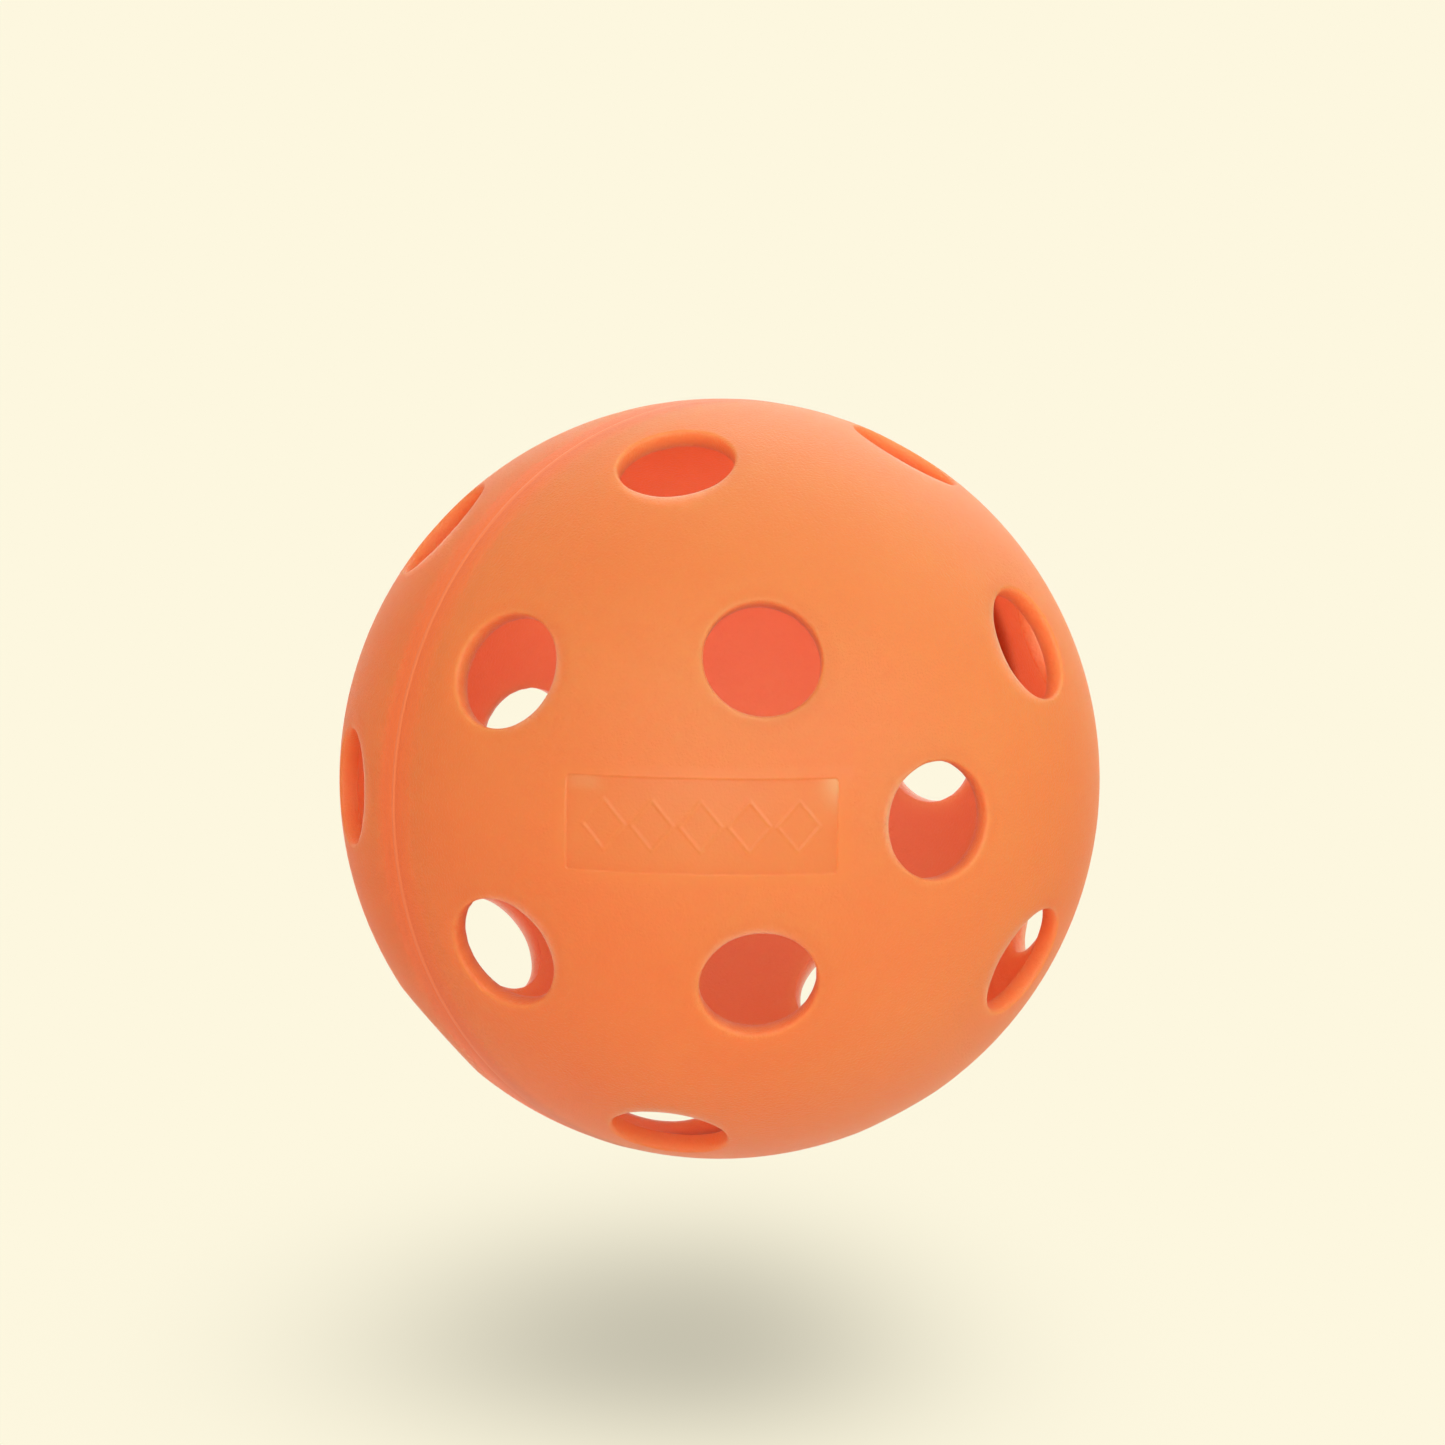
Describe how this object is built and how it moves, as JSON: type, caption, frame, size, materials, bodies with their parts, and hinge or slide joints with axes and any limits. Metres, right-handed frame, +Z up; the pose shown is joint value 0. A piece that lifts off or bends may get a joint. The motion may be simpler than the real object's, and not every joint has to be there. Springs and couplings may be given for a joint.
{
  "type": "pickleball",
  "caption": "Hollow perforated plastic ball for pickleball, two half shells with round holes, welded at the equator, with a shallow panel.",
  "frame": {"origin": "the ball's centre, where the moulding axis crosses the weld plane", "axes": "+Y along the moulding axis through both pole holes, from the front half (with the panel, towards -Y) to the rear half; +Z up, square to the panel's long side; the weld lies in the XZ plane"},
  "size_m": [0.0738, 0.0728, 0.0738],
  "materials": {
    "orange_polyethylene": "satin, very fine moulded grain, slightly translucent",
    "weld_plastic": "set weld plastic, slightly paler and glossier than the shells"
  },
  "bodies": {
    "root": {"front_half_shell": "orange_polyethylene", "rear_half_shell": "orange_polyethylene", "weld_bead": "weld_plastic"}
  },
  "joints": []
}
